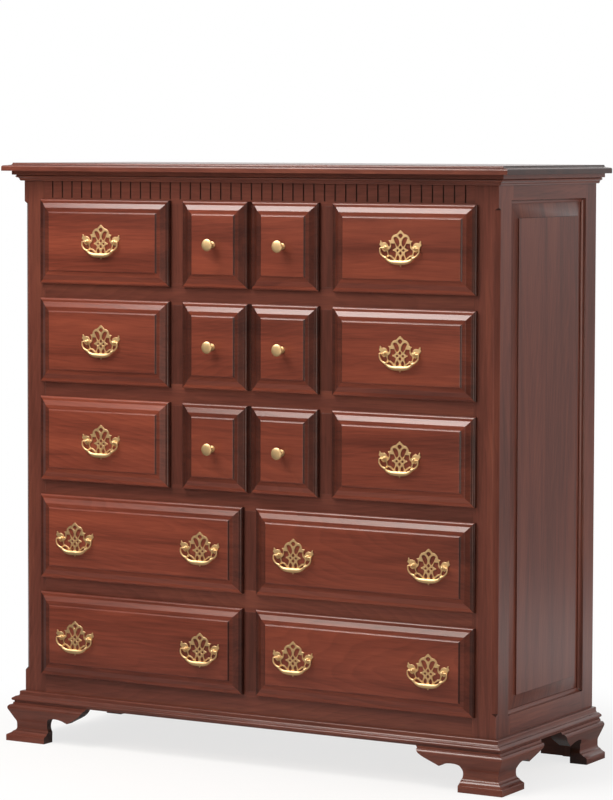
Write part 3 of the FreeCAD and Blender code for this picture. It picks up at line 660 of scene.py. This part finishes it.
for name, side in (("left", -1), ("right", 1)):
    def on_front(along, out, z):
        return at(side * (HALF - along), -out, z)

    def on_side(along, out, z):
        return at(side * (HALF + out), along, z)

    def on_rear(along, out, z):
        return at(side * (HALF + out), REAR - along, z)

    corner = at(side * HALF, 0, 0)
    stock = new_stock()
    outline = bracket(-CORNER_REACH, FOOT_REACH)
    add_mesh(stock, sawn_wing(ogee_face(FRONT_WING), outline, on_front,
                              (corner, (side, 1, 0))))
    add_mesh(stock, sawn_wing(ogee_face(SIDE_WING), outline, on_side,
                              (corner, (-side, -1, 0))))
    inner = side * (HALF + FOOT_HEAD_OUT - SIDE_WING)
    block_x = sorted((inner, inner - side * GLUE_BLOCK))
    front = FRONT_WING - FOOT_HEAD_OUT
    add_board(stock, block_x, (front, front + GLUE_BLOCK), (BLOCK_LIFT, BASE))
    make_piece(name + "_front_bracket_foot", stock, [case_cherry], "case",
               [name + "_front_foot"], ease=0.5, crease=34)
    stock = new_stock()
    stretch = REAR_REACH - FOOT_REACH
    outline = [(a + stretch if a > 0 else 0, z) for a, z in bracket(0, FOOT_REACH)]
    add_mesh(stock, sawn_wing(ogee_face(SIDE_WING), outline, on_rear))
    wing_face = REAR - BACK_WING_THICKNESS
    add_board(stock, sorted((side * (HALF - BACK_WING), inner)), (wing_face, REAR), (0, BASE))
    add_board(stock, block_x, (wing_face - GLUE_BLOCK, wing_face), (BLOCK_LIFT, BASE))
    make_piece(name + "_rear_bracket_foot", stock, [case_cherry], "case",
               [name + "_rear_foot"], ease=0.5, crease=34)


# ---------------------------------------------------------------------------
# Inside and back: runners, guides, bottom and six upright back boards of plain poplar, planed
# and left bare. The boards are nailed on with small flat-headed nails.
# ---------------------------------------------------------------------------
# Bare planed poplar: pale, dry and matt, with faint rings
poplar = planed_wood("bare_planed_poplar", "#a2835a", "#b4956a", "#c4a77c", 0.10, Roughness=0.62)
for name, node in (("runners", "web_frames"), ("bottom", "bottom_board")):
    stock = new_stock()
    add_mesh(stock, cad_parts[node].data)
    make_piece(name, stock, [poplar], "case", [node], ease=0.4)


def soft_metal(name, colour, patches, smoothest, roughest):
    """Metal whose shine changes a little from patch to patch."""
    finish = bpy.data.materials.new(name)
    tree = new_tree(finish)
    place = add(tree, "ShaderNodeTexCoord")
    uneven = add(tree, "ShaderNodeTexNoise", Vector=place.outputs["Object"], Scale=patches,
                 Detail=2.0)
    rough = add(tree, "ShaderNodeMapRange", Value=uneven.outputs["Fac"], To_Min=smoothest,
                To_Max=roughest)
    metal = add(tree, "ShaderNodeBsdfPrincipled", Base_Color=linear(colour), Metallic=1.0,
                Roughness=rough.outputs[0])
    add(tree, "ShaderNodeOutputMaterial", Surface=metal.outputs[0])
    return finish


# Bright steel nail heads, slightly dulled
steel = soft_metal("bright_steel_nail_heads", "#a9a8a4", 300.0, 0.30, 0.55)

BACK_BOARDS = 6
BACK_HALF = 566.85
BACK_FRONT = 449.5
BACK_INSET = 0.5
BACK_CHAMFER = 2.0
ROW_PITCH = 214.6
NAILS = 6
NAIL_INSET = 30.0
LOWEST_NAIL = 166.0
NAIL_RADIUS = 2.8
NAIL_HEIGHT = 0.8

tree, given = new_shape_tree("nail_row", ("Place", "Count", "Step", "Radius", "Height"))
head = add(tree, "GeometryNodeMeshCylinder", Vertices=12, Radius=given.outputs["Radius"],
           Depth=given.outputs["Height"])
line = add(tree, "GeometryNodeMeshLine", Count=given.outputs["Count"],
           Start_Location=given.outputs["Place"], Offset=given.outputs["Step"])
heads = add(tree, "GeometryNodeInstanceOnPoints", Points=line.outputs["Mesh"],
            Instance=head.outputs["Mesh"], Rotation=(math.pi / 2, 0, 0))
end_shape_tree(tree, heads.outputs["Instances"], steel)

stock = new_stock()
width = 2 * BACK_HALF / BACK_BOARDS
rim = REAR - BACK_INSET
for i in range(BACK_BOARDS):
    low = i * width - BACK_HALF
    outline = [(low, BACK_FRONT), (low + width, BACK_FRONT), (low + width, rim - BACK_CHAMFER),
               (low + width - BACK_CHAMFER, rim), (low + BACK_CHAMFER, rim),
               (low, rim - BACK_CHAMFER)]
    add_loft(stock, [[at(x, y, z) for x, y in outline] for z in (BASE, TOP)])
    for x in (low + NAIL_INSET, low + width - NAIL_INSET):
        nails = run_tree(tree, {
            "Place": at(x, rim, LOWEST_NAIL), "Count": NAILS, "Step": (0, 0, ROW_PITCH / 1000),
            "Radius": NAIL_RADIUS / 1000, "Height": NAIL_HEIGHT / 1000})
        add_mesh(stock, nails, finish=1)
make_piece("back_boards", stock, [poplar, steel], "case", ["back_panel"],
           ease=0.15)


# ---------------------------------------------------------------------------
# Drawers: lipped fronts of solid cherry, moulded all round to a raised field, the middle ones
# to two raised blocks. Poplar sides are dovetailed into the front, and a thin bottom runs in
# grooves.
# ---------------------------------------------------------------------------
ROWS = 5
ROWS_OF_THREE = 3
LOWEST = 149.7
FRONT_HEIGHT = 183.8
STILE_SHOWN = 46.4
DIVIDER_SHOWN = 32.5
LIP_GAP = 0.3
FIELD = 19.0
BLOCK_GAP = 8.4
FRONT_REAR = 13.0
BOX_INSET = 9.5
BOX_FOOT = 8.5
BOX_HEAD = 14.0
BOX_REAR = 424.0
SIDE_THICKNESS = 11.0
DOVETAILS = 5
TAIL_FRONT = 1.0
PIN_OUTER_HALF = 5.0
PIN_INNER_HALF = 2.5
BOX_BACK_RISE = 15.2
BOX_BACK_DROP = 8.0
BOX_BOTTOM = (10.0, 15.0)
BOX_BOTTOM_REAR = 423.5

# The same stain on the drawer fronts, drawn redder, clearer and lighter than on the case, partly
# as painted sheen, under the same satin lacquer
fronts_cherry_painted_sheen = planed_wood("fronts_cherry_stained_lacquered_painted_sheen", "#622a1b", "#783725", "#87402b",
                           0.13, **SATIN_LACQUER)

# Section of a front from its lip to its raised field: distance in from the edge, distance out
LEDGE = (8.6, 10.0)
FRONT_EDGE = ([(0, LIP_GAP)] + bend((4.8, 5.2), 4.8, 180, 90, 8)
              + [LEDGE, (19.0, 16.0), (27.6, 16.0)] + bend((31.0, 16.0), 3.0, 180, 90, 6)[1:])


def add_block(stock, x, z, meets, like):
    """One raised block with its moulded edges; meets tells which sides have a neighbour."""
    rings = []
    caps = len(stock["faces"]) + 2
    for inset, rise in FRONT_EDGE:
        left, right = x[0] + inset, x[1] - inset
        if rise == LIP_GAP:
            left -= BLOCK_GAP / 2 * meets[0]
            right += BLOCK_GAP / 2 * meets[1]
        rings.append([at(left, -rise, z[0] + inset), at(right, -rise, z[0] + inset),
                      at(right, -rise, z[1] - inset), at(left, -rise, z[1] - inset)])
    add_loft(stock, rings, like=like)
    # Lips and ledges at the sides take stain like end grain and are set nearly black, partly as
    # painted shade.
    # The side slopes carry painted shade, by different amounts on the left and right, and the sunk
    # margin round the field holds stain and painted shade; all of it is deeper on the fronts with
    # two blocks
    slope = caps + 4 * FRONT_EDGE.index(LEDGE)
    two_block_deepening = 1.25 if any(meets) else 1.0
    stock["stain_and_painted_shade"].update({i + j: 0.5 for i in range(caps, slope, 4) for j in (1, 3)})
    stock["stain_and_painted_shade"].update({slope + i: stain_and_painted_shade * two_block_deepening for i, stain_and_painted_shade in (
        (1, 0.31), (3, 0.39), (4, 0.24), (5, 0.29), (7, 0.34))})


def drawers():
    """Row, column, edges and lower edge of every drawer front."""
    found = []
    for row in range(1, ROWS + 1):
        names = ("left", "centre", "right") if row <= ROWS_OF_THREE else ("left", "right")
        shown = 2 * HALF - 2 * STILE_SHOWN - (len(names) - 1) * DIVIDER_SHOWN
        width = shown / len(names)
        foot = LOWEST + (ROWS - row) * ROW_PITCH
        for i, column in enumerate(names):
            start = -HALF + STILE_SHOWN + i * (width + DIVIDER_SHOWN)
            found.append((row, column, (start, start + width), foot))
    return found


for row, column, x, foot in drawers():
    stock = new_stock()
    z = (foot, foot + FRONT_HEIGHT)
    heart = at(sum(x) / 2 + chance.uniform(-90, 90), chance.uniform(25, 90),
               foot + chance.uniform(-20, 200))
    like = (heart, (1.0, 0.0, 0.0))
    if column == "centre":
        add_block(stock, (x[0], -BLOCK_GAP / 2), z, (0, 1), like)
        add_block(stock, (BLOCK_GAP / 2, x[1]), z, (1, 0), like)
    else:
        add_block(stock, x, z, (0, 0), like)
    left, right = x[0] + BOX_INSET, x[1] - BOX_INSET
    low, high = foot + BOX_FOOT, foot + FRONT_HEIGHT - BOX_HEAD
    inner = (left + SIDE_THICKNESS, right - SIDE_THICKNESS)
    add_board(stock, inner, (-LIP_GAP, FRONT_REAR), (low, high), like=like)
    pitch = (high - low) / DOVETAILS
    for outer, inward in ((left, 1), (right, -1)):
        span = sorted((outer, outer + inward * SIDE_THICKNESS))
        add_board(stock, span, (-LIP_GAP, TAIL_FRONT), (low, high), like=like)
        outline = [(BOX_REAR, high), (BOX_REAR, low), (TAIL_FRONT, low)]
        for i in range(DOVETAILS - 1):
            middle = low + (i + 1) * pitch
            pin = [(TAIL_FRONT, middle - PIN_OUTER_HALF), (FRONT_REAR, middle - PIN_INNER_HALF),
                   (FRONT_REAR, middle + PIN_INNER_HALF), (TAIL_FRONT, middle + PIN_OUTER_HALF)]
            outline += pin
            add_loft(stock, [[at(a, y, b) for y, b in pin] for a in span], like=like)
        outline.append((TAIL_FRONT, high))
        add_loft(stock, [[at(a, y, b) for y, b in outline] for a in span], finish=1)
    add_board(stock, inner, (BOX_REAR - SIDE_THICKNESS, BOX_REAR),
              (low + BOX_BACK_RISE, high - BOX_BACK_DROP), finish=1)
    add_board(stock, inner, (FRONT_REAR, BOX_BOTTOM_REAR),
              (low + BOX_BOTTOM[0], low + BOX_BOTTOM[1]), finish=1)
    name = "%d_%s" % (row, column)
    make_piece("drawer_box_" + name, stock, [fronts_cherry_painted_sheen, poplar], "drawer_" + name,
               ["drawer_" + name], ease=0.35, crease=22)


# ---------------------------------------------------------------------------
# Bail pulls: pierced back plates cast in brass, chamfered, satin finished and lacquered, each
# with two turned posts whose screws pass through the front, and a heavy bail hung between them.
# ---------------------------------------------------------------------------
# Satin brass under clear lacquer: warm pale gold with a soft, slightly uneven shine
brass = soft_metal("satin_lacquered_brass", "#ffdca6", 140.0, 0.42, 0.58)

# Right half of the back plate, across and up from the middle of the fret; v marks a corner
PLATE_EDGE = (
    (0, 41.0, "a"), (1.6, 40.0, "a"), (9.4, 32.8, "v"), (13.8, 32.0, "a"), (18.4, 28.8, "a"),
    (21.0, 24.4, "a"), (21.4, 20.6, "v"), (27.6, 19.4, "v"), (24.6, 15.2, "a"),
    (25.2, 7.0, "v"), (28.2, 8.8, "a"), (31.0, 13.4, "a"), (36.6, 15.8, "a"), (42.6, 15.2, "v"),
    (44.4, 18.4, "a"), (46.4, 19.4, "a"), (47.0, 15.4, "a"), (48.6, 11.0, "a"),
    (45.4, 7.6, "a"), (44.0, 3.0, "a"), (40.6, -1.2, "a"), (36.4, -3.4, "a"), (33.4, -1.8, "a"),
    (31.0, -4.4, "v"), (29.6, -8.6, "a"), (32.2, -13.2, "a"), (28.8, -14.8, "a"),
    (26.4, -12.6, "v"), (23.4, -13.4, "a"), (16.2, -18.4, "a"), (11.4, -24.4, "a"),
    (7.6, -27.4, "a"), (4.2, -28.0, "a"), (2.0, -29.4, "v"), (1.6, -31.6, "a"), (0, -33.4, "a"))
FINIAL_HOLE = ((0, 34.4, "a"), (3.8, 32.8, "a"), (5.2, 30.0, "a"), (2.9, 26.8, "a"),
               (0, 24.3, "v"))
CROWN_HOLE = ((0, 10.2, "v"), (2.2, 8.0, "a"), (3.3, 5.9, "a"), (2.0, 3.6, "a"), (0, 1.9, "v"))
FRET_HOLE = ((0, -1.9, "v"), (2.1, -3.8, "a"), (3.0, -5.9, "a"), (2.0, -8.0, "a"), (0, -9.8, "v"))
UPPER_LOOP = ((16.6, 25.4, "v"), (11.8, 27.2, "a"), (7.0, 25.4, "a"), (3.9, 20.8, "a"),
              (2.4, 15.6, "a"), (3.3, 11.0, "a"), (6.5, 7.2, "v"), (10.0, 11.4, "a"),
              (13.4, 17.8, "a"))
SIDE_LIGHT = ((13.0, 13.9, "v"), (22.4, 13.6, "v"), (22.4, 5.8, "a"), (24.6, 2.8, "a"),
              (28.2, -0.6, "a"), (28.2, -5.2, "a"), (25.8, -9.6, "a"), (21.4, -10.3, "v"),
              (17.2, -13.2, "a"), (13.4, -16.2, "v"), (10.9, -10.4, "a"), (9.9, -4.9, "v"),
              (13.4, -2.1, "a"), (17.6, -0.9, "v"), (17.6, 1.6, "v"), (13.8, 2.8, "a"),
              (9.8, 6.2, "v"), (11.4, 9.8, "a"))
STAR_HOLE = ((3.8, 0, "v"), (6.6, 2.5, "a"), (9.9, 0.1, "v"), (6.6, -2.9, "a"))
LOWER_LOOP = ((6.1, -9.5, "v"), (9.0, -12.9, "a"), (9.8, -16.8, "a"), (8.2, -21.2, "a"),
              (5.2, -21.4, "a"), (2.7, -16.8, "a"), (3.3, -12.8, "a"))
PLATE_THICKNESS = 1.8
PLATE_CHAMFER = 0.4
POST_PLACE = (34.5, 4.5)
POST_REACH = 4.5
PULL_INSET = 98.5
PULL_DROP = 3.0
ROW_DROP = 1.0


def add_outline(curve, points):
    """One closed spline of a flat curve, in millimetres."""
    spline = curve.splines.new("BEZIER")
    spline.bezier_points.add(len(points) - 1)
    spline.use_cyclic_u = True
    for knot, (u, w, kind) in zip(spline.bezier_points, points):
        knot.co = (u / 1000, w / 1000, 0)
        knot.handle_left_type = knot.handle_right_type = "VECTOR" if kind == "v" else "AUTO"


def both_halves(points):
    """A half outline from the middle line and back to it, with its mirror image."""
    return list(points) + [(-u, w, kind) for u, w, kind in reversed(points[1:-1])]


curve = bpy.data.curves.new("back_plate", "CURVE")
curve.dimensions = "2D"
curve.fill_mode = "BOTH"
curve.resolution_u = 4
curve.extrude = (PLATE_THICKNESS / 2 - PLATE_CHAMFER) / 1000
curve.bevel_depth = PLATE_CHAMFER / 1000
curve.bevel_resolution = 0
curve.offset = -PLATE_CHAMFER / 1000
for outline in (PLATE_EDGE, FINIAL_HOLE, CROWN_HOLE, FRET_HOLE):
    add_outline(curve, both_halves(outline))
for outline in (UPPER_LOOP, SIDE_LIGHT, STAR_HOLE, LOWER_LOOP):
    add_outline(curve, outline)
    add_outline(curve, [(-u, w, kind) for u, w, kind in outline])
drawn = bpy.data.objects.new("back_plate", curve)
scene.collection.objects.link(drawn)
plate = evaluated_mesh(drawn)
bpy.data.objects.remove(drawn)
work = bmesh.new()
work.from_mesh(plate)
bmesh.ops.remove_doubles(work, verts=work.verts, dist=1e-6)
work.to_mesh(plate)
work.free()


def add_turning(stock, x, y, z, profile, sides=24, finish=0, way=-1):
    """A turning that stands out from a face: profile is (radius, distance out)."""
    rings = [[at(x + a, y + way * out, z + b)
              for a, b in bend((0, 0), radius, 0, 360, sides)[:-1]] for radius, out in profile]
    add_loft(stock, rings, finish)


# Turned post: a flat rosette, a short waist and a ball that the bail is hung in
POST = ([(4.4, 0), (4.4, 0.5), (3.8, 0.9), (2.6, 1.2)]
        + bend((0, 4.5), 3.6, -45, 60, 8) + [(1.4, 7.9), (0.6, 8.2)])
SCREW = [(4.0, 0), (4.0, 1.0)] + bend((1.6, 0.9), 2.4, 25, 80, 4) + [(0.6, 3.3)]


def add_screw(stock, x, z):
    """A steel screw head on the back of a drawer front."""
    add_turning(stock, x, FRONT_REAR, z, SCREW, sides=16, finish=1, way=1)


def add_pull(stock, x, z):
    """Plate, posts and the screws inside the drawer of one pull."""
    points = [at(x + p.co.x * 1000, -FIELD - PLATE_THICKNESS / 2 - p.co.z * 1000,
                 z + p.co.y * 1000) for p in plate.vertices]
    add_solid(stock, points, [list(face.vertices) for face in plate.polygons])
    for side in (-1, 1):
        u = x + side * POST_PLACE[0]
        add_turning(stock, u, -FIELD - PLATE_THICKNESS, z + POST_PLACE[1], POST)
        add_screw(stock, u, z + POST_PLACE[1])


# Centre line of the right half of a bail: across, up, half height and half depth of its section
BAIL = ((33.4, 4.5, 1.3, 1.3), (38.0, 4.5, 1.3, 1.3), (43.0, 4.5, 1.3, 1.3), (44.8, 3.2, 1.5, 1.5),
        (45.0, -0.6, 1.5, 1.5), (44.2, -4.8, 1.7, 1.7), (41.4, -9.2, 1.8, 1.8),
        (37.0, -12.8, 2.0, 2.0), (33.0, -14.6, 2.5, 2.3), (31.0, -15.8, 3.4, 2.9),
        (29.2, -17.6, 2.7, 2.4), (25.4, -20.6, 3.1, 2.6), (19.4, -23.2, 3.8, 2.9),
        (12.0, -24.5, 4.4, 3.2), (5.0, -24.8, 4.7, 3.3), (0, -24.8, 4.8, 3.4))
BAIL_STEPS = 4
BAIL_SIDES = 14


def add_bail(stock, x, z):
    """A bail: thin arms with inturned pins, a bead, and a grip that swells to the middle."""
    run = [(-u, w, a, b) for u, w, a, b in BAIL[:-1]] + list(reversed(BAIL))
    fine = []
    for i in range(len(run) - 1):
        four = [run[max(i - 1, 0)], run[i], run[i + 1], run[min(i + 2, len(run) - 1)]]
        # A smooth curve through the four points, between the two in the middle
        for step in range(BAIL_STEPS):
            t = step / BAIL_STEPS
            fine.append([0.5 * (2 * b + (c - a) * t + (2 * a - 5 * b + 4 * c - d) * t * t
                                + (3 * b - a - 3 * c + d) * t ** 3) for a, b, c, d in zip(*four)])
    fine.append(run[-1])
    rings = []
    circle = bend((0, 0), 1, 0, 360, BAIL_SIDES)[:-1]
    y = -FIELD - PLATE_THICKNESS - POST_REACH
    for i, (u, w, tall, deep) in enumerate(fine):
        before, after = fine[max(i - 1, 0)], fine[min(i + 1, len(fine) - 1)]
        du, dw = after[0] - before[0], after[1] - before[1]
        length = math.hypot(du, dw)
        rings.append([at(x + u - dw / length * tall * b, y + deep * a,
                         z + w + du / length * tall * b) for a, b in circle])
    add_loft(stock, rings)


# ---------------------------------------------------------------------------
# Knobs on the block drawers: turned from brass bar, with a flat face, a slim neck and a small
# rosette against the field. A screw from inside the drawer holds each of them.
# ---------------------------------------------------------------------------
KNOB = ([(7.1, 0), (7.1, 0.9)] + bend((6.3, 0.9), 0.8, 0, 80, 3) + [(4.4, 2.2), (3.1, 4.0),
        (2.8, 8.5), (3.2, 13.0), (4.6, 16.0), (7.6, 18.2), (11.2, 19.6)]
        + bend((11.5, 21.2), 1.3, -60, 75, 6) + [(11.0, 22.9), (9.8, 23.3), (7.6, 23.6),
        (4.0, 23.9), (0.5, 24.0)])

# Knobs or pulls on every drawer; each row further down has them 1 mm lower on its fronts
for row, column, x, foot in drawers():
    name = "%d_%s" % (row, column)
    z = foot + FRONT_HEIGHT / 2 - (row - 1) * ROW_DROP
    stock = new_stock()
    if column == "centre":
        for side in (-1, 1):
            knob_x = side * (x[1] - x[0] + BLOCK_GAP) / 4
            add_turning(stock, knob_x, -FIELD, z, KNOB, sides=36)
            add_screw(stock, knob_x, z)
        make_piece("turned_knobs_%d" % row, stock, [brass, steel], "drawer_" + name,
                   ["knobs_%d" % row], ease=0)
        continue
    z -= PULL_DROP
    wide = row > ROWS_OF_THREE
    places = (x[0] + PULL_INSET, x[1] - PULL_INSET) if wide else (sum(x) / 2,)
    for middle in places:
        add_pull(stock, middle, z)
    make_piece("back_plates_" + name, stock, [brass, steel], "drawer_" + name,
               [("pulls_" if wide else "pull_") + name], ease=0)
    for middle, end in zip(places, ("_a", "_b") if wide else ("",)):
        stock = new_stock()
        add_bail(stock, middle, z)
        make_piece("handle_" + name + end, stock, [brass], "bail_" + name + end,
                   ["bail_" + name + end], ease=0)
